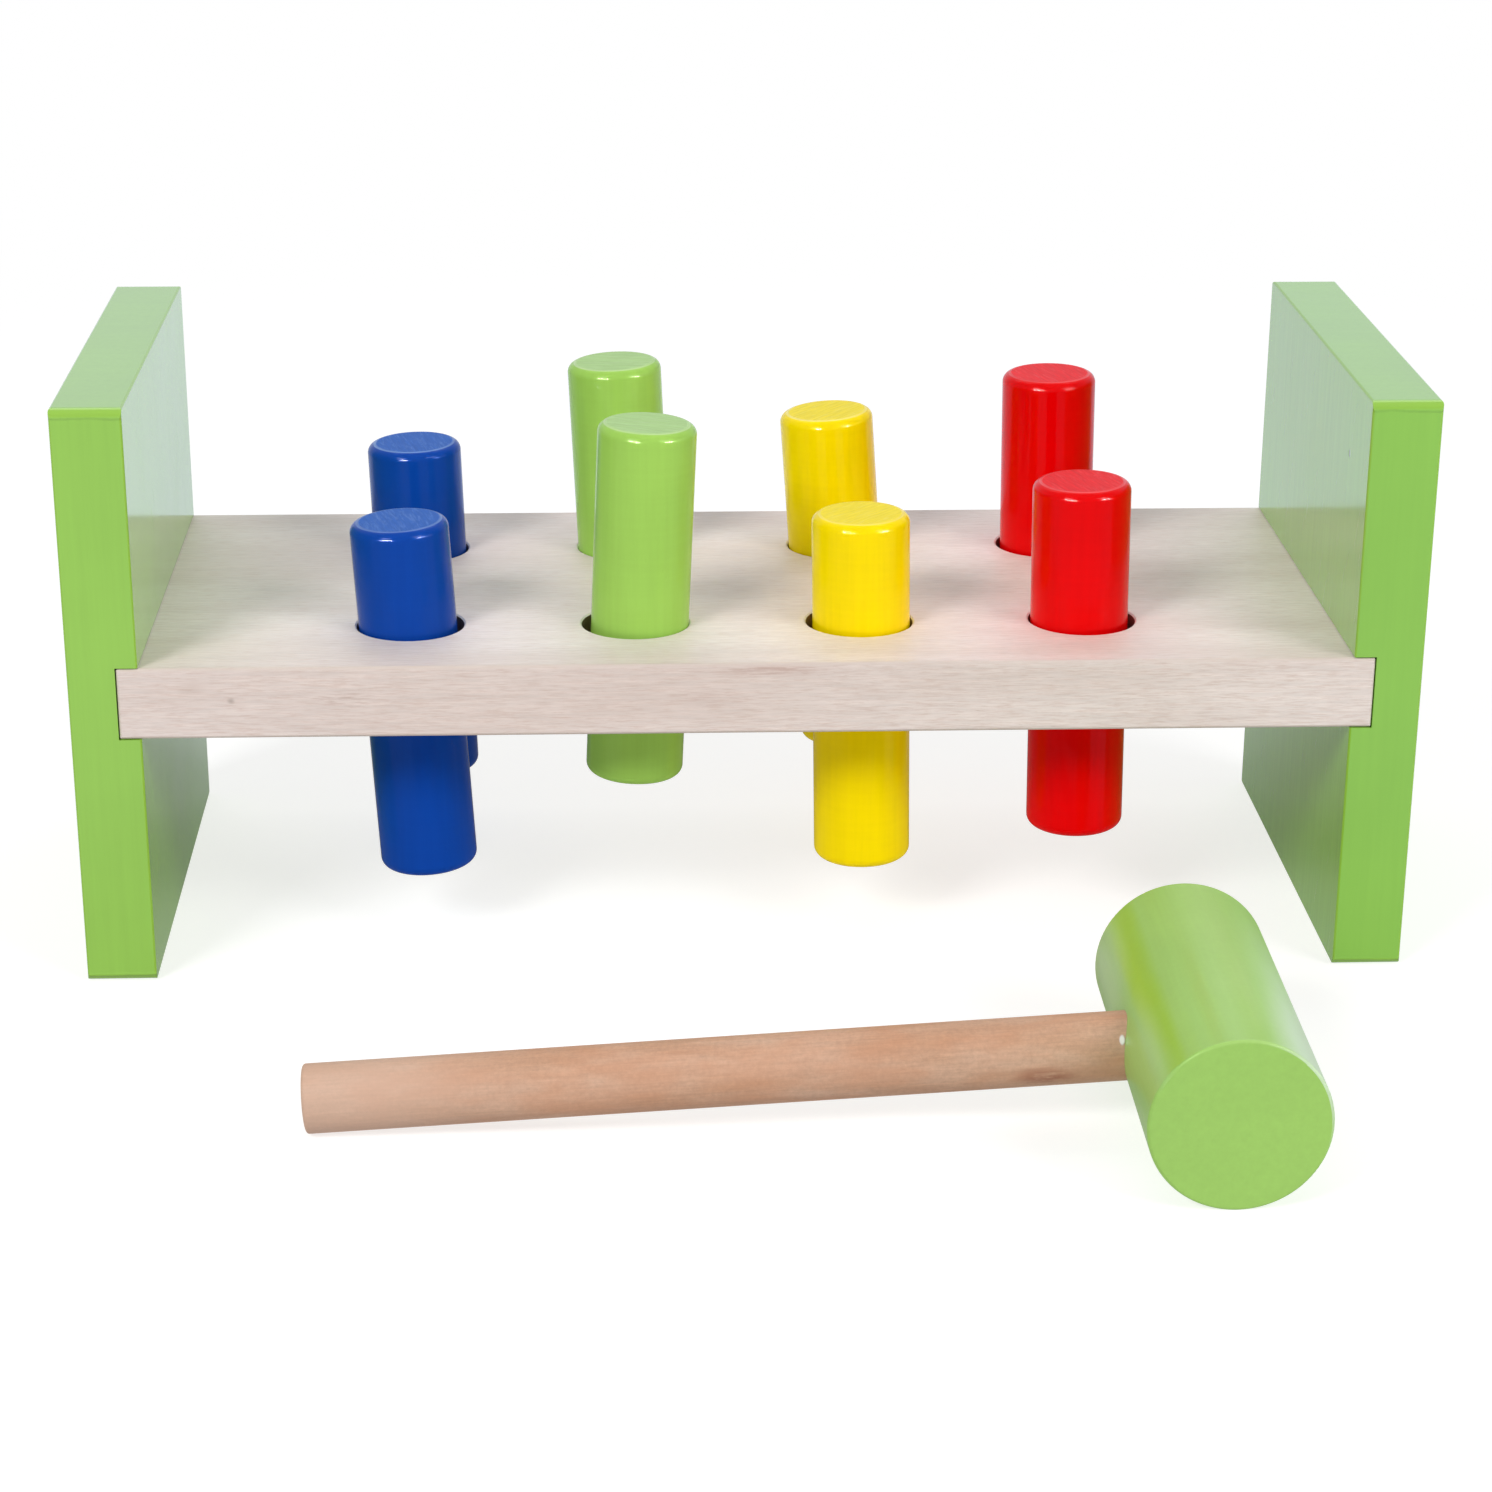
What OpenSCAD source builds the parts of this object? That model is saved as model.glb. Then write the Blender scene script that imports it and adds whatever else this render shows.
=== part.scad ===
// Peg pounding bench: a wooden board held between two end panels, eight round
// pegs that are driven through it, and a mallet lying in front of it.
// X runs along the bench, Y from front to back, Z up.
// The origin is the middle of the bench on the surface that it stands on.

/* [Bench] */
// Length of the bench over its two end panels
bench_len = 270; // [240:1:330]
// Depth of the bench from front to back
bench_depth = 108.6; // [100:0.1:140]
// Height of the end panels, which stand on either long edge
bench_h = 119.5; // [106:0.5:132]
// Thickness of the end panels
panel_t = 14; // [11:0.5:20]
// Rounding of the end panels' four corners, seen from the side
panel_corner_round = 2; // [0.5:0.1:8]
// Easing of the end panels' long edges
panel_edge_round = 0.5; // [0.2:0.1:2]

/* [Board] */
// Thickness of the board that holds the pegs
board_t = 14.7; // [12:0.1:18]
// Easing of the board's edges
board_edge_round = 0.7; // [0.2:0.1:2]
// Depth of the groove in each end panel that takes the board's end
groove_depth = 4.5; // [2.5:0.5:7]
// Room between the board and each face of its groove
groove_play = 0.15; // [0.05:0.05:0.4]

/* [Pegs] */
// Diameter of the pegs
peg_d = 20.1; // [16:0.1:22]
// Length of the pegs
peg_len = 74.5; // [68:0.5:84]
// Rounding of the pegs' ends
peg_round = 2; // [0.5:0.1:4]
// Distance from an end panel's inner face to the middle of the first hole in a row
first_peg_gap = 51.9; // [44:0.1:58]
// Distance from the board's long edges to the middle of each row
row_edge_gap = 27.2; // [22:0.1:32]
// Distance of the middle of the front row to the right of the board's middle
front_row_right = 0.5; // [-2:0.1:2]
// Distance of the middle of the back row to the right of the board's middle
back_row_right = -0.3; // [-2:0.1:2]
// Distance of the middle of the hole pattern behind the board's middle
pattern_back = 0.2; // [0:0.1:3]
// Room between a peg and its hole, all round
peg_play = 1; // [0.8:0.05:1.6]
// Width of the sanded bevel on the rims of the holes
hole_bevel = 0.3; // [0.1:0.1:1]
// Distance that a peg keeps from the tabletop when it is driven right down
floor_gap = 0.6; // [0.2:0.1:2]

/* [Friction rings] */
// Thickness of the rubber ring that grips each peg inside its hole
ring_wire = 3; // [2:0.1:4]
// Room between a ring and its peg
ring_hug = 0.05; // [0.02:0.01:0.1]
// Room between a ring and the sides of its groove
ring_fit = 0.05; // [0.02:0.01:0.2]

/* [Screws] */
// Diameter of the screws' shanks
screw_d = 3.5; // [2.5:0.1:5]
// Length of the screws
screw_len = 35; // [25:1:36]
// Diameter of the screws' countersunk heads
screw_head_d = 7; // [6:0.1:9]
// Height of the head's sunk cone
screw_cone_h = 2.2; // [1.5:0.1:3]
// Thickness of the head's rim
screw_rim = 0.4; // [0.2:0.1:0.8]
// Length of the screws' points
screw_point = 5; // [3:0.5:8]
// Depth of a head below the outer face of its end panel
screw_sink = 0.3; // [0:0.1:1]
// Distance from the panel's front and back edges to its screws
screw_edge_gap = 22.5; // [15:0.5:30]
// Room between a screw and the wood round it
screw_fit = 0.05; // [0.02:0.01:0.2]
// Length of each slot of the cross recess
recess_len = 3.8; // [3:0.1:4.5]
// Width of each slot of the cross recess
recess_w = 0.9; // [0.6:0.1:1.2]
// Depth of the cross recess
recess_depth = 1.6; // [1:0.1:2]

/* [Mallet] */
// Diameter of the mallet's head
head_d = 33.4; // [28:0.1:44]
// Length of the mallet's head
head_len = 73.1; // [60:0.1:90]
// Rounding of the head's two rims
head_round = 0.6; // [0.2:0.1:3]
// Diameter of the handle
handle_d = 13.1; // [10:0.1:16]
// Length of the handle with the part inside the head
handle_len = 176.7; // [150:0.1:210]
// Rounding of the handle's ends
handle_round = 0.6; // [0.2:0.1:2]
// Depth of the handle's bore, measured from the head's surface
bore_depth = 25; // [15:0.5:27]
// Room for glue round the handle inside its bore
glue_gap = 0.05; // [0.02:0.01:0.1]
// Distance of the mallet's head to the right of the bench's middle
mallet_right = 82.5; // [60:0.1:100]
// Distance from the bench's front to the middle of the mallet's head
mallet_ahead = 71.5; // [60:0.1:120]
// Turn of the mallet on the tabletop, in degrees
mallet_turn = -0.52; // [-8:0.01:8]

/* [Hidden] */
$fn = 96;
// How far a cut runs past the face that it opens
overrun = 1;

ROWS = ["front", "back"];
COLOURS = ["blue", "green", "yellow", "red"];
row_steps = [for (r = [0 : len(ROWS) - 1]) r];
col_steps = [for (c = [0 : len(COLOURS) - 1]) c];
SIDES = ["left", "right"];
SCREW_ROWS = ["front", "back"];
function peg_name(row, col) = str(ROWS[row], "_", COLOURS[col], "_peg");
function ring_name(row, col) = str(ROWS[row], "_", COLOURS[col], "_ring");
function screw_name(side, row) = str(SIDES[side], "_", SCREW_ROWS[row], "_screw");

leaf_green = "#93C85C";
peg_blue = "#1B47A0";
peg_yellow = "#FBDD0A";
peg_red = "#DF1620";
pale_beech = "#E2D4C6";
warm_beech = "#D2A486";
rubber_black = "#2A2A2A";
zinc = "#B9BCC0";
peg_colours = [peg_blue, leaf_green, peg_yellow, peg_red];

// Where each peg stands in its travel: -1 is right down, 0 halfway and 1 right up
travel_shares = [
    [-0.350, 0.554, -0.317, -0.023],
    [-0.276, 0.530, 0.022, 0.388]
];
// How far each peg leans to the right, as a share of the lean that its hole allows
lean_shares = [
    [-0.420, 0.321, -0.140, -0.118],
    [-0.222, -0.334, -0.554, -0.115]
];
// How far each peg stands to the right in its hole, as a share of the play
shift_shares = [
    [-0.11, 0.62, 0.56, -0.40],
    [0.71, -0.60, -0.17, 0.06]
];

// Where the board's ends and faces lie
board_len = bench_len - 2 * panel_t + 2 * groove_depth - 2 * groove_play;
board_mid = bench_h / 2;
panel_x = (bench_len - panel_t) / 2;

// The holes and the pegs in them
hole_d = peg_d + 2 * peg_play;
peg_pitch = (bench_len - 2 * panel_t - 2 * first_peg_gap) / (len(COLOURS) - 1);
row_pitch = bench_depth - 2 * row_edge_gap;
row_rights = [front_row_right, back_row_right];
full_lean = atan(2 * peg_play / board_t);
full_travel = (bench_h - peg_len) / 2 - floor_gap;
function hole_place(row, col) = [
    row_rights[row] + (col - (len(COLOURS) - 1) / 2) * peg_pitch,
    pattern_back + (row - (len(ROWS) - 1) / 2) * row_pitch,
    board_mid
];
function peg_lean(row, col) = lean_shares[row][col] * full_lean;
function peg_shift(row, col) = [shift_shares[row][col] * peg_play, 0, 0];

// A ring's middle line, opened a little where its peg leans, and its groove in the board
function ring_r(row, col) = ((peg_d + ring_wire) / 2 + ring_hug) / cos(peg_lean(row, col));
ring_groove_r = peg_d / 2 + ring_hug + ring_wire + peg_play + ring_fit;

// The handle slopes until the lower edge of its free end rests on the tabletop
handle_reach = handle_len - bore_depth + head_d / 2;
end_along = handle_reach - handle_round;
end_across = handle_d / 2 - handle_round;
end_drop = head_d / 2 - handle_round;
handle_slope = asin(end_drop / norm([end_along, end_across])) - atan(end_across / end_along);

// A rectangle about its own middle with round corners
module rounded_rect(size, r) {
    square([size.x - 2 * r, size.y], center = true);
    square([size.x, size.y - 2 * r], center = true);
    for (sx = [-1, 1], sy = [-1, 1])
        translate([sx * (size.x / 2 - r), sy * (size.y / 2 - r)]) circle(r);
}

// A slab about its own middle: corner_r rounds its outline seen along X, edge_r eases the rest
module eased_slab(size, corner_r, edge_r) {
    intersection() {
        rotate([90, 0, 90])
            linear_extrude(size.x, center = true)
                rounded_rect([size.y, size.z], corner_r);
        linear_extrude(size.z, center = true)
            rounded_rect([size.x, size.y], edge_r);
        rotate([90, 0, 0])
            linear_extrude(size.y, center = true)
                rounded_rect([size.x, size.z], edge_r);
    }
}

// A round bar about its own middle, standing along Z, with rounded ends
module rounded_bar(d, length, r) {
    rotate_extrude() {
        translate([0, -length / 2]) square([d / 2 - r, length]);
        translate([0, r - length / 2]) square([d / 2, length - 2 * r]);
        for (s = [-1, 1])
            translate([d / 2 - r, s * (length / 2 - r)]) circle(r);
    }
}

// A countersunk wood screw along -Z, with the top of its head at the origin;
// extra makes it larger all round, for the hole that it sits in
module screw_body(extra) {
    rotate_extrude()
        polygon([
            [0, 0],
            [screw_head_d / 2 + extra, 0],
            [screw_head_d / 2 + extra, -screw_rim - extra],
            [screw_d / 2 + extra, -screw_rim - screw_cone_h - extra],
            [screw_d / 2 + extra, screw_point - screw_len],
            [extra, -screw_len - extra],
            [0, -screw_len - extra]
        ]);
}

// Puts a screw's frame at its place in an end panel, with its point towards the board
module at_screw(side, row) {
    out = 2 * side - 1;
    translate([
        out * (bench_len / 2 - screw_sink),
        (2 * row - 1) * (bench_depth / 2 - screw_edge_gap),
        board_mid
    ])
        rotate([0, out * 90, 0]) children();
}

module screw_holes(side) {
    for (row = [0, 1]) at_screw(side, row) {
        screw_body(screw_fit);
        cylinder(h = screw_sink + overrun, d = screw_head_d + 2 * screw_fit);
    }
}

module end_panel(side) {
    out = 2 * side - 1;
    inner_face = bench_len / 2 - panel_t;
    color(leaf_green)
        difference() {
            translate([out * panel_x, 0, board_mid])
                eased_slab([panel_t, bench_depth, bench_h], panel_corner_round, panel_edge_round);
            translate([out * (inner_face + (groove_depth - overrun) / 2), 0, board_mid])
                cube([
                    groove_depth + overrun,
                    bench_depth + 2 * overrun,
                    board_t + 2 * groove_play
                ], center = true);
            screw_holes(side);
        }
}

// What is cut from the board for one peg: the hole, its bevels and the ring's groove
module peg_hole() {
    cylinder(h = board_t + 2 * overrun, d = hole_d, center = true);
    cylinder(h = ring_wire + 2 * ring_fit, r = ring_groove_r, center = true);
    for (s = [-1, 1])
        scale([1, 1, s])
            translate([0, 0, board_t / 2 - hole_bevel])
                cylinder(
                    h = hole_bevel + overrun,
                    d1 = hole_d,
                    d2 = hole_d + 2 * (hole_bevel + overrun)
                );
}

module bench_board() {
    color(pale_beech)
        difference() {
            translate([0, 0, board_mid])
                eased_slab([board_len, bench_depth, board_t], board_edge_round, board_edge_round);
            for (row = row_steps, col = col_steps)
                translate(hole_place(row, col)) peg_hole();
            for (side = [0, 1]) screw_holes(side);
        }
}

module peg(row, col) {
    color(peg_colours[col])
        translate(hole_place(row, col) + peg_shift(row, col))
            rotate([0, peg_lean(row, col), 0])
                translate([0, 0, travel_shares[row][col] * full_travel])
                    rounded_bar(peg_d, peg_len, peg_round);
}

module friction_ring(row, col) {
    color(rubber_black)
        translate(hole_place(row, col) + peg_shift(row, col))
            rotate_extrude()
                translate([ring_r(row, col), 0]) circle(d = ring_wire);
}

module screw(side, row) {
    color(zinc)
        at_screw(side, row)
            difference() {
                screw_body(0);
                for (turn = [0, 90])
                    rotate([0, 0, turn])
                        translate([0, 0, (overrun - recess_depth) / 2])
                            cube([recess_len, recess_w, recess_depth + overrun], center = true);
            }
}

// The middle of the mallet's head, with the head along Y and the handle towards -X
module at_mallet() {
    translate([mallet_right, -bench_depth / 2 - mallet_ahead, head_d / 2])
        rotate([0, 0, mallet_turn]) children();
}

// Turns +Z to the handle's direction, out of the head and down to the tabletop
module along_handle() {
    rotate([0, -90 - handle_slope, 0]) children();
}

module mallet_head() {
    color(leaf_green)
        at_mallet()
            difference() {
                rotate([90, 0, 0]) rounded_bar(head_d, head_len, head_round);
                along_handle()
                    translate([0, 0, head_d / 2 - bore_depth - glue_gap])
                        cylinder(h = bore_depth + glue_gap + overrun, d = handle_d + 2 * glue_gap);
            }
}

module mallet_handle() {
    color(warm_beech)
        at_mallet()
            along_handle()
                translate([0, 0, handle_reach - handle_len / 2])
                    rounded_bar(handle_d, handle_len, handle_round);
}

end_panel(0);  // left_end_panel
end_panel(1);  // right_end_panel
bench_board();
for (row = row_steps, col = col_steps) {
    peg(row, col);
    friction_ring(row, col);
}
for (side = [0, 1], row = [0, 1])
    screw(side, row);
mallet_head();
mallet_handle();
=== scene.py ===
import math

import bpy
from mathutils import Matrix, Vector


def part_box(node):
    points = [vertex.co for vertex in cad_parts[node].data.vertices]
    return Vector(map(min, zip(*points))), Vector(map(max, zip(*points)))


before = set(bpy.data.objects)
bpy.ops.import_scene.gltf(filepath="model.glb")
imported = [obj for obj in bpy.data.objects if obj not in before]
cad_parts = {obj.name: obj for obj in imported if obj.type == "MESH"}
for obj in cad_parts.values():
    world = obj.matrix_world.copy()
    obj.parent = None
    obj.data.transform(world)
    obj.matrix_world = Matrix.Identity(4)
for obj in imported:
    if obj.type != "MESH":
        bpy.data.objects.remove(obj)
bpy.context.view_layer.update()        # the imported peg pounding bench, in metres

MM = 0.001
AXES = {"X": 0, "Y": 1, "Z": 2}
SIDES = ("left", "right")
ROWS = ("front", "back")
SEED_STEPS = (0.37, 0.53, 0.71)     # metres that one more seed moves a noise, along each axis
SPREAD = (0.3, 0.7)                 # most values of a noise lie between these
ROUNDING = (0.93, 0.98)             # a normal's part along an axis, where a rounded edge starts

WHITE = (1, 1, 1, 1)
BLACK = (0, 0, 0, 1)
COOL = (0.84, 0.90, 1.0, 1)         # the white background's colour in reflections
LEAF_TINT = (0.55, 0.85, 0.35, 1)   # specular tint of the green paint on panels and mallet
LACQUER_IOR = 1.8

board_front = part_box("bench_board")[0].y / MM

# The ridge in the panels' paint: its distance from the top and bottom edges, and its form
RIDGE_INSET = 1.45 * MM
RIDGE_WIDTH = 0.7 * MM
RIDGE_WAVE = 0.3 * MM
panel_low, panel_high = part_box("left_end_panel")
panel_middle = (panel_low.z + panel_high.z) / 2
ridge_rise = panel_high.z - RIDGE_INSET - panel_middle

# How far from its middle the board has holes. Its rounded edges lie beyond
HOLES_REACH = {"X": 119.5 * MM, "Y": 53 * MM}

# How the mallet's handle lies: its fall to the free end, and its turn about the upright
MALLET_SLOPE = math.radians(3.47)
MALLET_TURN = math.radians(-0.52)


def tone(red, green, blue):
    """A colour as a screen shows it, from 0 to 255, in Blender's linear RGBA."""
    shares = [value / 255 for value in (red, green, blue)]
    linear = [share / 12.92 if share <= 0.04045 else ((share + 0.055) / 1.055) ** 2.4
              for share in shares]
    return (*linear, 1.0)


class Look:
    """A node material. Its methods add nodes and give back the socket to go on with."""

    def __init__(self, name, **sockets):
        self.material = bpy.data.materials.new(name)
        self.material.use_nodes = True
        self.tree = self.material.node_tree
        self.shader = self.tree.nodes["Principled BSDF"]
        coordinates = self.add("ShaderNodeTexCoord")
        self.place = coordinates.outputs["Object"]
        self.normal = coordinates.outputs["Normal"]
        self.set(**sockets)

    def add(self, kind, settings=(), **inputs):
        """Adds a node with its settings, and plugs values or sockets into its inputs."""
        node = self.tree.nodes.new(kind)
        for name, value in dict(settings).items():
            setattr(node, name, value)
        for name, value in inputs.items():
            self.plug(node.inputs[name.replace("_", " ")], value)
        return node

    def plug(self, socket, value):
        if isinstance(value, bpy.types.NodeSocket):
            self.tree.links.new(value, socket)
        else:
            socket.default_value = value

    def set(self, **sockets):
        """Sets or links the shader's own sockets."""
        for name, value in sockets.items():
            self.plug(self.shader.inputs[name.replace("_", " ")], value)

    def noise(self, cell, seed, turn=(0, 0, 0), detail=2.0, rough=0.5, warp=0.0):
        """Soft random values round 0.5, in patches as large as cell, in millimetres."""
        mapping = self.add("ShaderNodeMapping", {"vector_type": "TEXTURE"}, Vector=self.place,
                           Location=[step * seed for step in SEED_STEPS], Rotation=turn,
                           Scale=[size * MM for size in cell])
        return self.add("ShaderNodeTexNoise", Vector=mapping.outputs[0], Scale=1.0, Detail=detail,
                        Roughness=rough, Distortion=warp).outputs[0]

    def range(self, value, low, high, to_low=0.0, to_high=1.0, smooth=False):
        """Takes low to to_low and high to to_high, and stays there beyond them."""
        kind = "SMOOTHSTEP" if smooth else "LINEAR"
        node = self.add("ShaderNodeMapRange", {"interpolation_type": kind}, Value=value,
                        From_Min=low, From_Max=high, To_Min=to_low, To_Max=to_high)
        return node.outputs[0]

    def math(self, operation, a, b=0.0):
        node = self.add("ShaderNodeMath", {"operation": operation})
        self.plug(node.inputs[0], a)
        self.plug(node.inputs[1], b)
        return node.outputs[0]

    def times(self, a, b):
        return self.math("MULTIPLY", a, b)

    def outside(self, mask):
        """1 where a mask is 0, and 0 where it is 1."""
        return self.math("SUBTRACT", 1.0, mask)

    def blend(self, share, a, b, kind="MIX"):
        """Colour a with a share of colour b. The mix node's colours are its inputs 6 and 7."""
        node = self.add("ShaderNodeMix", {"data_type": "RGBA", "blend_type": kind})
        self.plug(node.inputs[0], share)
        self.plug(node.inputs[6], a)
        self.plug(node.inputs[7], b)
        return node.outputs[2]

    def mix_values(self, share, a, b):
        """Value a with a share of value b. The mix node's values are its inputs 2 and 3."""
        node = self.add("ShaderNodeMix", {"data_type": "FLOAT"})
        self.plug(node.inputs[0], share)
        self.plug(node.inputs[2], a)
        self.plug(node.inputs[3], b)
        return node.outputs[0]

    def stain(self, colour, where, share, shade):
        """Adds a share of a shade to a colour, where a mask is 1."""
        return self.blend(self.times(where, share), colour, shade)

    def vary(self, colour, value, least, most, span=SPREAD):
        """Multiplies a colour by least to most, as a value goes from end to end of its span."""
        return self.blend(1.0, colour, self.range(value, *span, least, most), "MULTIPLY")

    def part(self, vector, axis):
        """The size of a vector's part along the axis."""
        split = self.add("ShaderNodeSeparateXYZ", Vector=vector)
        return self.math("ABSOLUTE", split.outputs[AXES[axis]])

    def facing(self, axis):
        """1 on the flat faces that are square to the axis, and 0 elsewhere."""
        return self.range(self.part(self.normal, axis), 0.985, 0.996, smooth=True)

    def within(self, axis, limit, soft=0.5 * MM):
        """1 where the place is closer to 0 along the axis than the limit, and 0 beyond."""
        return self.range(self.part(self.place, axis), limit - soft, limit + soft, 1.0, 0.0)

    def near(self, point, reach, core=0.0):
        """1 at a point, in millimetres, falling softly to 0 at its reach along each axis.
        It stays 1 over the share of the reach that core gives."""
        mapping = self.add("ShaderNodeMapping", {"vector_type": "TEXTURE"}, Vector=self.place,
                           Location=[value * MM for value in point],
                           Scale=[value * MM for value in reach])
        away = self.add("ShaderNodeVectorMath", {"operation": "LENGTH"}, Vector=mapping.outputs[0])
        return self.range(away.outputs["Value"], core, 1.0, 1.0, 0.0, smooth=True)

    def relief(self, *layers):
        """Bumps of the given depths in micrometres, from values between 0 and 1."""
        height = 0.0
        for depth, value in layers:
            height = self.math("ADD", self.times(value, depth), height)
        bump = self.add("ShaderNodeBump", Strength=1.0, Distance=MM * MM, Height=height)
        self.set(Normal=bump.outputs[0])


def along(axis, long_mm, cross_mm):
    """A cell that is long along one axis and narrow across it."""
    return [long_mm if i == AXES[axis] else cross_mm for i in range(3)]


# Materials
def painted(name, colour, axis, seed, gloss, tint, coat, haze):
    """Glossy paint on wood whose grain runs along the axis and shows through faintly."""
    look = Look(name, Specular_IOR_Level=gloss, Specular_Tint=tint, Coat_Weight=coat,
                Coat_Roughness=haze, Coat_IOR=LACQUER_IOR)
    cloud = look.noise((26, 26, 26), seed, detail=3.0)
    grain = look.noise(along(axis, 34, 1.3), seed + 1, detail=3.0, rough=0.6)
    colour = look.vary(colour, cloud, 0.965, 1.03)
    colour = look.vary(colour, grain, 0.965, 1.03, span=(0.25, 0.75))
    return look, colour, cloud, grain


def paint_ridge(look, height):
    """1 along a wavy line across the panels' narrow faces, near their top and bottom."""
    wave = look.range(look.noise((7, 60, 60), seed=21), *SPREAD, -RIDGE_WAVE, RIDGE_WAVE)
    rise = look.math("ABSOLUTE", look.math("SUBTRACT", height, panel_middle))
    away = look.math("SUBTRACT", look.math("ADD", rise, wave), ridge_rise)
    away = look.math("ABSOLUTE", away)
    ridge = look.range(away, 0.0, RIDGE_WIDTH, 1.0, 0.0, smooth=True)
    return look.times(ridge, look.part(look.normal, "Y"))


def panel_paint():
    """Brushed green paint, with scratches, a nick, paint ridges near the corners, and painted
    reflection and shade.
    """
    look, colour, cloud, grain = painted("panel_green", tone(146, 195, 79), "Z", seed=3, gloss=0.5,
                                         tint=LEAF_TINT, coat=0.3, haze=0.07)
    broad = look.facing("X")
    brush = look.noise((60, 3.2, 46), seed=8)
    scratch = look.noise((0.5, 0.45, 14), seed=15, turn=(0.35, 0.0, 0.0), detail=0.0)
    scratch = look.times(look.range(scratch, 0.79, 0.83), broad)
    # Brush streaks on the broad faces, painted into the colour as a painted reflection
    streak = look.noise((60, 1.0, 26), seed=18, detail=3.0, rough=0.6)
    streak = look.times(look.range(streak, 0.35, 0.65, -0.5, 0.5), broad)
    nick = look.near((121.0, -36.1, 104.3), reach=(1.4, 1.4, 1.4))
    colour = look.vary(colour, brush, 0.985, 1.012)
    colour = look.vary(colour, streak, 0.93, 1.07, span=(-0.5, 0.5))
    # Painted shade makes the right panel a touch cooler and darker, least so on its top
    place = look.add("ShaderNodeSeparateXYZ", Vector=look.place)
    level = look.part(look.normal, "Z")
    right = look.range(place.outputs["X"], -10 * MM, 10 * MM, 0.0, 0.3)
    right_panel_shade = look.times(right, look.range(level, 0.3, 0.9, 1.0, 0.4))
    colour = look.blend(right_panel_shade, colour, tone(118, 185, 70))
    # The rounded edges are painted a deeper green as painted shade, and the paint ends in a ridge
    # near each corner
    flattest = look.math("MAXIMUM", look.part(look.normal, "X"), look.part(look.normal, "Y"))
    flattest = look.math("MAXIMUM", level, flattest)
    colour = look.blend(look.range(flattest, 0.93, 0.985, 0.5, 0.0), colour, tone(142, 186, 36))
    ridge = paint_ridge(look, place.outputs["Z"])
    colour = look.stain(colour, scratch, 0.25, tone(214, 232, 190))
    colour = look.stain(colour, nick, 0.7, tone(60, 92, 40))
    look.set(Base_Color=colour, Roughness=look.range(cloud, *SPREAD, 0.13, 0.19))
    look.relief((8.0, grain), (9.0, brush), (-14.0, scratch), (-60.0, nick), (200.0, ridge))
    return look.material


def peg_paint(name, seed, colour, end, flecks_and_painted_edge_light, tint):
    """Paint with dust in it on the peg's side, and over saw marks on its ends."""
    look, colour, cloud, grain = painted(name, colour, "Z", seed=seed, gloss=0.1, tint=tint,
                                         coat=0.07, haze=0.07)
    upright = look.part(look.normal, "Z")
    flat = look.facing("Z")
    side = look.outside(flat)
    turned = look.noise((40, 40, 0.9), seed + 2)
    dust = look.range(look.noise((1.5, 1.5, 1.7), seed + 3, detail=1.0), 0.66, 0.74)
    # Each colour's saw marks run another way
    turn = (0, 0, 0.4 + 0.7 * seed)
    sawn = look.noise((6, 0.55, 60), seed + 4, turn, detail=3.0, rough=0.7)
    fleck = look.noise((5, 0.8, 60), seed + 5, turn, detail=3.0, rough=0.75, warp=0.6)
    # The ends' tone is paler than the side's, partly as a painted reflection, with pale flecks on
    # it
    end = look.vary(end, sawn, 0.86, 1.08)
    end = look.blend(look.range(fleck, 0.5, 0.75, 0.0, 0.35), end, flecks_and_painted_edge_light)
    # Where the end's rounding starts, a pale line is a painted highlight
    rim_highlight = look.times(look.range(upright, 0.90, 0.94),
                      look.range(upright, 0.985, 0.995, 1.0, 0.0))
    rim_highlight = look.times(rim_highlight, look.range(cloud, 0.35, 0.65, 0.25, 0.65))
    colour = look.vary(colour, turned, 0.99, 1.01)
    colour = look.blend(flat, colour, end)
    colour = look.blend(rim_highlight, colour, flecks_and_painted_edge_light)
    look.set(Base_Color=colour, Roughness=look.mix_values(flat, 0.2, 0.5))
    look.relief((5.0, grain), (5.0, look.times(turned, side)), (14.0, look.times(dust, side)),
                (34.0, look.times(sawn, flat)))
    return look.material


# Painted highlights on the mallet's side: how much, and the patch's middle, its reach
# along each axis in millimetres and the share of that reach that its core takes
HIGHLIGHT_PATCHES = (
    (0.95, (98.5, -158.0, 26.0), (16, 80, 16), 0.3),
    (0.55, (66.0, -102.0, 20.0), (9, 34, 9), 0.2),
    (0.3, (68.2, -147.0, 25.8), (4, 30, 4), 0.0),
)


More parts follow.
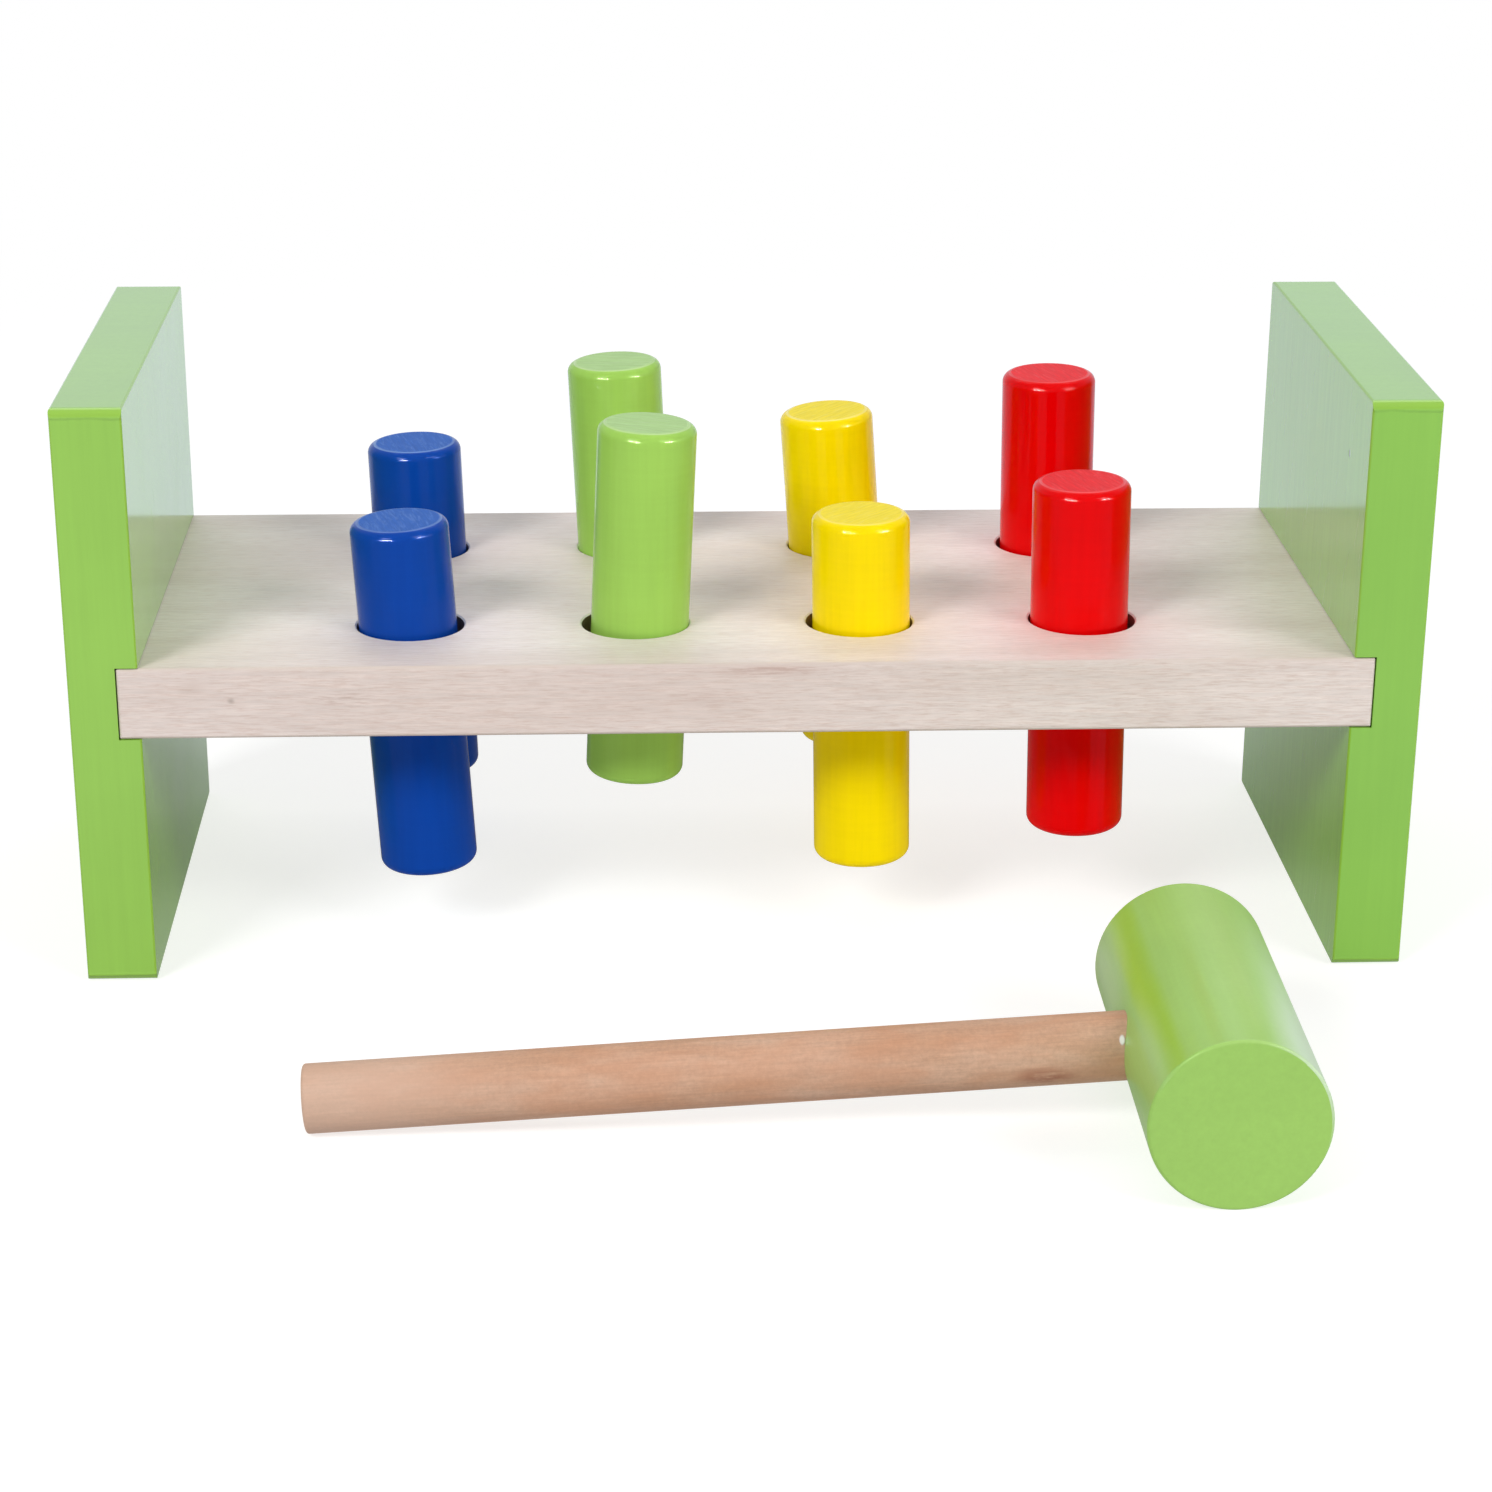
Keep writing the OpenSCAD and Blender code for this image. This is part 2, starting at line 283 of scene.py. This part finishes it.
def head_paint():
    """Silky green paint with painted reflections in pale patches and painted shade in a deep band
    round the head.
    """
    look, colour, _, grain = painted("mallet_green", tone(159, 203, 101), "Y", seed=31,
                                     gloss=0.4, tint=LEAF_TINT, coat=0.1, haze=0.25)
    flat = look.facing("Y")
    side = look.outside(flat)
    turned = look.noise((50, 1.4, 50), seed=37)
    fine = look.noise((1.2, 1.2, 1.2), seed=38, detail=3.0)
    uneven = look.noise((9, 30, 9), seed=39)
    # Painted reflection makes the head pale on top and at the right, and painted shade makes one
    # band at the left deep
    normal = look.add("ShaderNodeSeparateXYZ", Vector=look.normal)
    right, up = normal.outputs["X"], normal.outputs["Z"]
    pale = look.math("ADD", look.range(right, -0.45, 0.25, smooth=True),
                     look.range(right, -0.95, -0.8, 0.35, 0.0))
    pale = look.times(pale, look.range(up, -0.1, 0.5, smooth=True))
    pale = look.times(pale, look.range(uneven, *SPREAD, 0.6, 1.0))
    shade_band_way = (-0.76, 0.0, 0.65)
    deep = look.add("ShaderNodeVectorMath", {"operation": "DOT_PRODUCT"})
    look.plug(deep.inputs[0], look.normal)
    look.plug(deep.inputs[1], shade_band_way)
    deep = look.range(deep.outputs["Value"], 0.968, 0.995, smooth=True)
    deep = look.times(deep, look.range(uneven, 0.35, 0.6, 0.5, 1.0))
    # Painted highlights in a pale tone, from the patches above, on the side only
    head_highlight = 0.0
    for share, point, reach, core in HIGHLIGHT_PATCHES:
        patch = look.times(look.near(point, reach, core), share)
        head_highlight = look.math("MAXIMUM", patch, head_highlight)
    head_highlight = look.times(head_highlight, look.range(uneven, 0.3, 0.6, 0.75, 1.0))
    head_highlight = look.times(head_highlight, side)
    colour = look.stain(colour, pale, 0.4, tone(190, 217, 148))
    colour = look.stain(colour, deep, 0.85, tone(157, 201, 62))
    colour = look.stain(colour, head_highlight, 0.7, tone(210, 228, 204))
    colour = look.vary(colour, fine, 0.985, 1.012)
    look.set(Base_Color=colour, Roughness=look.mix_values(flat, 0.3, 0.45))
    look.relief((8.0, grain), (6.0, look.times(turned, side)), (5.0, fine))
    return look.material


def bare_wood(name, pale, dark, seed, band_mm, turn=(0, 0, 0), **gloss):
    """Sanded beech: broad soft bands and fine grain along X, and turned with the piece."""
    look = Look(name, **gloss)
    bands = look.noise(along("X", band_mm * 5, band_mm), seed, turn, warp=0.3)
    grain = look.noise(along("X", 22, 0.8), seed + 1, turn, detail=5.0, rough=0.7)
    fibre = look.noise(along("X", 6, 0.42), seed + 2, turn)
    colour = look.blend(look.range(bands, *SPREAD, smooth=True), pale, dark)
    colour = look.vary(colour, grain, 0.92, 1.05)
    colour = look.vary(colour, fibre, 0.94, 1.045)
    return look, colour, grain, fibre


def front_mark(look, x, z, wide, high, deep=1.5, core=0.0):
    """1 round a place on the board's front face. The sizes are millimetres to each side."""
    return look.near((x, board_front, z), (wide, deep, high), core)


def mark_board(look, colour, line):
    """The photographed knot, rub mark and brown streaks on the board's front."""
    lower = look.times(front_mark(look, x=-8.5, z=60.2, wide=10.0, high=3.0), 0.4)
    streak = front_mark(look, x=4.5, z=65.8, wide=18.0, high=2.1)
    streak = look.math("MAXIMUM", streak, lower)
    streak = look.times(streak, look.range(line, 0.3, 0.62, 0.25, 1.0))
    halo = front_mark(look, x=-110.5, z=63.0, wide=5.0, high=3.0)
    knot = front_mark(look, x=-103.0, z=60.3, wide=1.1, high=0.9)
    rub = front_mark(look, x=-81.5, z=60.3, wide=9.0, high=2.2)
    rub = look.times(rub, look.range(line, 0.4, 0.6))
    colour = look.stain(colour, streak, 0.65, tone(190, 156, 146))
    colour = look.stain(colour, halo, 0.25, tone(190, 164, 150))
    colour = look.stain(colour, knot, 0.5, tone(132, 112, 100))
    return look.stain(colour, rub, 0.4, tone(182, 156, 146))


def shade_edges(look, colour):
    """Painted highlights on the holes' rims, and painted shade on their walls and the board's
    rounded edges.
    """
    level = look.part(look.normal, "Z")
    holes = look.times(look.within("X", HOLES_REACH["X"]), look.within("Y", HOLES_REACH["Y"]))
    # A painted highlight on the holes' rims, and painted shade on their walls
    hole_rim_highlight = look.times(holes, look.range(level, *ROUNDING, 0.6, 0.0))
    hole_wall_shade = look.times(holes, look.range(level, 0.3, 0.5, 1.0, 0.0))
    # Painted shade on the board's rounded edges, away from the holes
    flecks_and_painted_edge_light = look.times(look.range(level, 0.15, 0.35), look.range(level, *ROUNDING, 1.0, 0.0))
    flecks_and_painted_edge_light = look.times(flecks_and_painted_edge_light, look.outside(holes))
    colour = look.blend(hole_rim_highlight, colour, tone(255, 250, 244))
    colour = look.blend(hole_wall_shade, colour, tone(122, 97, 80))
    return look.stain(colour, flecks_and_painted_edge_light, 0.6, tone(206, 190, 180))


def board_wood():
    """Whitened beech, with a thin lacquer."""
    look, colour, grain, fibre = bare_wood(
        "whitened_beech", tone(242, 230, 226), tone(230, 215, 209), seed=50, band_mm=17,
        Specular_IOR_Level=0.7, Coat_Weight=0.5, Coat_Roughness=0.5)
    line = look.noise(along("X", 4, 0.3), seed=49, detail=3.0, rough=0.7)
    colour = look.blend(look.range(line, 0.46, 0.8, 0.0, 0.75), colour, tone(205, 176, 163))
    rays = look.noise(along("X", 4.5, 0.27), seed=53, detail=3.0, rough=0.7)
    patch = look.noise(along("X", 60, 14), seed=57, detail=1.0)
    rays = look.times(look.range(rays, 0.63, 0.74), look.range(patch, 0.42, 0.62, 0.2, 0.9))
    colour = look.stain(colour, rays, 0.4, tone(172, 142, 130))
    colour = mark_board(look, colour, line)
    colour = shade_edges(look, colour)
    # The front is given a darker tone than the top, partly as painted shade, and is browner in the
    # middle
    browner = front_mark(look, x=-4.0, z=60.0, wide=85, high=16, deep=2.0)
    colour = look.stain(colour, browner, 0.15, tone(214, 188, 174))
    front = front_mark(look, x=0.0, z=60.0, wide=400, high=40, deep=2.0, core=0.4)
    painted_front_shade = (0.915, 0.905, 0.885, 1.0)
    colour = look.blend(front, colour, painted_front_shade, "MULTIPLY")
    # A white spot at the near rim of the front blue peg's hole
    white_spot = look.near((-68.6, -37.9, 67.1), reach=(0.5, 0.7, 0.6), core=0.3)
    colour = look.blend(white_spot, colour, tone(255, 255, 255))
    look.set(Base_Color=colour, Roughness=look.range(grain, *SPREAD, 0.5, 0.62))
    look.relief((10.0, grain), (6.0, fibre), (-10.0, line), (-14.0, rays))
    return look.material


def handle_wood():
    """Warm, rough beech, paler at the free end and scorched next to the mallet's head."""
    turn = (0.0, -MALLET_SLOPE, MALLET_TURN)
    look, colour, grain, fibre = bare_wood(
        "warm_beech", tone(207, 169, 144), tone(196, 152, 123), seed=71, band_mm=6, turn=turn,
        Specular_IOR_Level=0.3)
    fuzz = look.noise((1.0, 0.8, 0.8), seed=77, detail=3.0, rough=0.75)
    ripple = look.noise((0.5, 5, 5), seed=79, turn=turn)
    colour = look.vary(colour, fuzz, 0.91, 1.09)
    colour = look.vary(colour, ripple, 0.985, 1.015)
    warm = look.noise((16, 6, 6), seed=83, turn=turn, detail=3.0)
    warm = look.range(warm, 0.4, 0.7, 0.0, 0.4, smooth=True)
    colour = look.blend(warm, colour, tone(200, 140, 104))
    end = look.near((-82.0, -130.0, 8.0), reach=(45, 25, 25), core=0.2)
    colour = look.stain(colour, end, 0.5, tone(214, 184, 165))
    scorch = look.noise(along("X", 5, 1.6), seed=86, turn=turn, detail=3.0, rough=0.6)
    scorch = look.times(look.near((51.3, -131.5, 12.3), reach=(8.0, 3.2, 3.0)),
                        look.range(scorch, 0.25, 0.5))
    colour = look.stain(colour, scorch, 0.85, tone(150, 86, 60))
    glue = look.near((65.4, -130.9, 19.2), reach=(0.65, 1.0, 1.25), core=0.6)
    colour = look.blend(glue, colour, tone(246, 242, 238))
    look.set(Base_Color=colour, Roughness=look.range(grain, *SPREAD, 0.55, 0.68))
    look.relief((10.0, grain), (8.0, fibre), (9.0, fuzz), (150.0, glue))
    return look.material


def rubber():
    look = Look("ring_rubber", Specular_IOR_Level=0.4)
    fine = look.noise((0.6, 0.6, 0.6), seed=90)
    look.set(Base_Color=look.blend(fine, tone(36, 36, 37), tone(52, 51, 51)),
             Roughness=look.range(fine, *SPREAD, 0.6, 0.75))
    look.relief((10.0, fine))
    return look.material


def zinc_plate():
    look = Look("zinc_plate", Metallic=1.0)
    fine = look.noise((0.4, 2.5, 2.5), seed=95, detail=3.0)
    look.set(Base_Color=look.blend(fine, tone(168, 171, 176), tone(205, 207, 210)),
             Roughness=look.range(fine, *SPREAD, 0.26, 0.42))
    look.relief((4.0, fine))
    return look.material


def dress(node, material):
    """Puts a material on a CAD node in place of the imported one."""
    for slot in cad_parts[node].material_slots:
        slot.material = material


# Each colour's side; its ends, paler partly as a painted reflection; the tone of end flecks
# and of the painted highlight at the ends' rounding; and its specular tint
PEG_PAINTS = {
    "blue": {"colour": tone(10, 66, 162), "end": tone(30, 92, 182), "flecks_and_painted_edge_light": tone(120, 158, 218),
             "tint": (0.05, 0.2, 0.9, 1)},
    "green": {"colour": tone(160, 206, 92), "end": tone(176, 212, 140),
              "flecks_and_painted_edge_light": tone(208, 230, 182), "tint": (0.6, 0.9, 0.3, 1)},
    "yellow": {"colour": tone(255, 224, 0), "end": tone(254, 230, 50),
               "flecks_and_painted_edge_light": tone(255, 244, 150), "tint": (1.0, 0.85, 0.05, 1)},
    "red": {"colour": tone(232, 0, 2), "end": tone(240, 18, 26), "flecks_and_painted_edge_light": tone(250, 104, 108),
            "tint": (0.95, 0.06, 0.06, 1)},
}

green = panel_paint()
for side in SIDES:
    dress(side + "_end_panel", green)
dress("bench_board", board_wood())
ring_rubber = rubber()
for order, (colour, paint) in enumerate(PEG_PAINTS.items()):
    material = peg_paint("peg_" + colour, 11 + 6 * order, **paint)
    for row in ROWS:
        dress(row + "_" + colour + "_peg", material)
        dress(row + "_" + colour + "_ring", ring_rubber)
steel = zinc_plate()
for side in SIDES:
    for row in ROWS:
        dress(side + "_" + row + "_screw", steel)
dress("mallet_head", head_paint())
dress("mallet_handle", handle_wood())


# World and floor
def shown_rays(tree):
    """1 for the rays that should see the white background, which come from the camera, from
    reflections and through glass, and 0 for the rest."""
    path = tree.nodes.new("ShaderNodeLightPath")
    total = path.outputs["Is Camera Ray"]
    for name in ("Is Glossy Ray", "Is Transmission Ray"):
        node = tree.nodes.new("ShaderNodeMath")
        node.operation = "MAXIMUM"
        tree.links.new(total, node.inputs[0])
        tree.links.new(path.outputs[name], node.inputs[1])
        total = node.outputs[0]
    return total


def make_world(ambient):
    """White to the camera, cool white in reflections, and dimmed to ambient as light."""
    world = bpy.data.worlds.new("studio")
    bpy.context.scene.world = world
    world.use_nodes = True
    tree = world.node_tree
    strength = tree.nodes.new("ShaderNodeMapRange")
    strength.inputs["To Min"].default_value = ambient
    tree.links.new(shown_rays(tree), strength.inputs["Value"])
    path = tree.nodes.new("ShaderNodeLightPath")
    tint = tree.nodes.new("ShaderNodeMix")
    tint.data_type = "RGBA"
    tint.inputs[6].default_value = WHITE
    tint.inputs[7].default_value = COOL
    tree.links.new(path.outputs["Is Glossy Ray"], tint.inputs[0])
    background = tree.nodes["Background"]
    tree.links.new(tint.outputs[2], background.inputs["Color"])
    tree.links.new(strength.outputs[0], background.inputs["Strength"])


def make_floor(reach, albedo, glow, bounce, dim, reflected_fade, seen_fade):
    """A white floor that keeps the object's shadow near it and is plain white further off.
    glow is the light that it adds near the object to the camera's view, and bounce the light
    that it adds to what it gives back. Reflections near the object see its dim grey. The fades
    are the distances in metres over which it turns plain, in reflections and to the camera."""
    mesh = bpy.data.meshes.new("floor")
    mesh.from_pydata([(-reach, -reach, 0), (reach, -reach, 0), (reach, reach, 0),
                      (-reach, reach, 0)], [], [(0, 1, 2, 3)])
    floor = bpy.data.objects.new("floor", mesh)
    bpy.context.scene.collection.objects.link(floor)
    look = Look("floor_white")
    tree = look.tree
    shown = shown_rays(tree)
    path = look.add("ShaderNodeLightPath")
    seen = path.outputs["Is Camera Ray"]
    away = look.add("ShaderNodeVectorMath", {"operation": "LENGTH"}, Vector=look.place)
    distance = away.outputs["Value"]
    faded = look.mix_values(seen, look.range(distance, *reflected_fade, smooth=True),
                            look.range(distance, *seen_fade, smooth=True))
    own = look.blend(shown, (albedo, albedo, albedo, 1), (dim, dim, dim, 1))
    own = look.blend(look.times(faded, shown), own, BLACK)
    added = look.mix_values(faded, look.times(seen, glow), 1.0)
    diffuse = look.add("ShaderNodeBsdfDiffuse", Color=own)
    emission = look.add("ShaderNodeEmission",
                        Color=look.blend(path.outputs["Is Glossy Ray"], WHITE, COOL),
                        Strength=look.mix_values(shown, bounce, added))
    both = look.add("ShaderNodeAddShader")
    tree.links.new(diffuse.outputs[0], both.inputs[0])
    tree.links.new(emission.outputs[0], both.inputs[1])
    tree.links.new(both.outputs[0], tree.nodes["Material Output"].inputs["Surface"])
    tree.nodes.remove(look.shader)
    mesh.materials.append(look.material)


make_world(ambient=0.17)
make_floor(reach=6.0, albedo=0.15, glow=0.70, bounce=0.58, dim=0.45,
           reflected_fade=(0.08, 0.25), seen_fade=(0.25, 0.7))


# Lamps and camera
def softbox(name, azimuth, elevation, width, height, strength, glints_on=None):
    """A lamp seen from the bench at those angles, as wide and high in degrees as given.
    Azimuth 0 is towards -Y. Strength 1 would light a surface that faces it fully.
    With glints_on it only adds highlights, to the objects in that collection."""
    aim = Vector((0.0, -0.03, 0.05))
    distance = 1.5
    azimuth, elevation = math.radians(azimuth), math.radians(elevation)
    way = Vector((math.sin(azimuth) * math.cos(elevation),
                  -math.cos(azimuth) * math.cos(elevation), math.sin(elevation)))
    data = bpy.data.lights.new(name, "AREA")
    data.shape = "RECTANGLE"
    data.size = 2 * distance * math.tan(math.radians(width / 2))
    data.size_y = 2 * distance * math.tan(math.radians(height / 2))
    data.energy = strength * (math.pi * distance) ** 2
    lamp = bpy.data.objects.new(name, data)
    turn = way.to_track_quat("Z", "Y").to_matrix().to_4x4()
    lamp.matrix_world = Matrix.Translation(aim + way * distance) @ turn
    lamp.visible_camera = False
    if glints_on:
        lamp.visible_diffuse = False
        lamp.light_linking.receiver_collection = glints_on
    bpy.context.scene.collection.objects.link(lamp)


def light_bench():
    """The two main lamps throw the photographed shadows of the pegs on the board, and two
    more add highlights to the pegs alone."""
    pegs = bpy.data.collections.new("pegs")
    for row in ROWS:
        for colour in PEG_PAINTS:
            pegs.objects.link(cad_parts[row + "_" + colour + "_peg"])
    softbox("left_softbox", azimuth=-39, elevation=35, width=18, height=15, strength=0.51)
    softbox("right_softbox", azimuth=47, elevation=33, width=22, height=16, strength=0.35)
    softbox("left_glint", azimuth=-32, elevation=15, width=28, height=8, strength=4.3,
            glints_on=pegs)
    softbox("right_glint", azimuth=52, elevation=15, width=22, height=7, strength=2.5,
            glints_on=pegs)
    softbox("right_fill", azimuth=75, elevation=10, width=44, height=16, strength=0.20)
    softbox("top_softbox", azimuth=0, elevation=82, width=60, height=60, strength=0.10)
    softbox("back_softbox", azimuth=180, elevation=60, width=50, height=30, strength=0.26)


light_bench()


def make_camera():
    """The photograph's camera, fitted to the object's corners and edges."""
    photo_pixels = 1492
    focal_pixels = 3500.3
    middle_pixels = (757.4, 877.9)
    place = Vector((-0.03022, -0.71340, 0.28984))
    pitch, yaw, roll = (math.radians(angle) for angle in (22.155, 2.763, -0.365))
    ahead = Vector((math.sin(yaw), math.cos(yaw), 0))
    level = Vector((math.cos(yaw), -math.sin(yaw), 0))
    up = Vector((0, 0, 1))
    view = ahead * math.cos(pitch) - up * math.sin(pitch)
    rise = ahead * math.sin(pitch) + up * math.cos(pitch)
    x_axis = level * math.cos(roll) - rise * math.sin(roll)
    y_axis = level * math.sin(roll) + rise * math.cos(roll)
    data = bpy.data.cameras.new("camera")
    data.sensor_width = 36.0
    data.lens = focal_pixels * data.sensor_width / photo_pixels
    data.shift_x = (photo_pixels / 2 - middle_pixels[0]) / photo_pixels
    data.shift_y = (middle_pixels[1] - photo_pixels / 2) / photo_pixels
    data.clip_end = 50.0
    camera = bpy.data.objects.new("camera", data)
    turn = Matrix((x_axis, y_axis, -view)).transposed().to_4x4()
    camera.matrix_world = Matrix.Translation(place) @ turn
    bpy.context.scene.collection.objects.link(camera)
    bpy.context.scene.camera = camera


make_camera()
bpy.context.scene.view_settings.view_transform = "Standard"
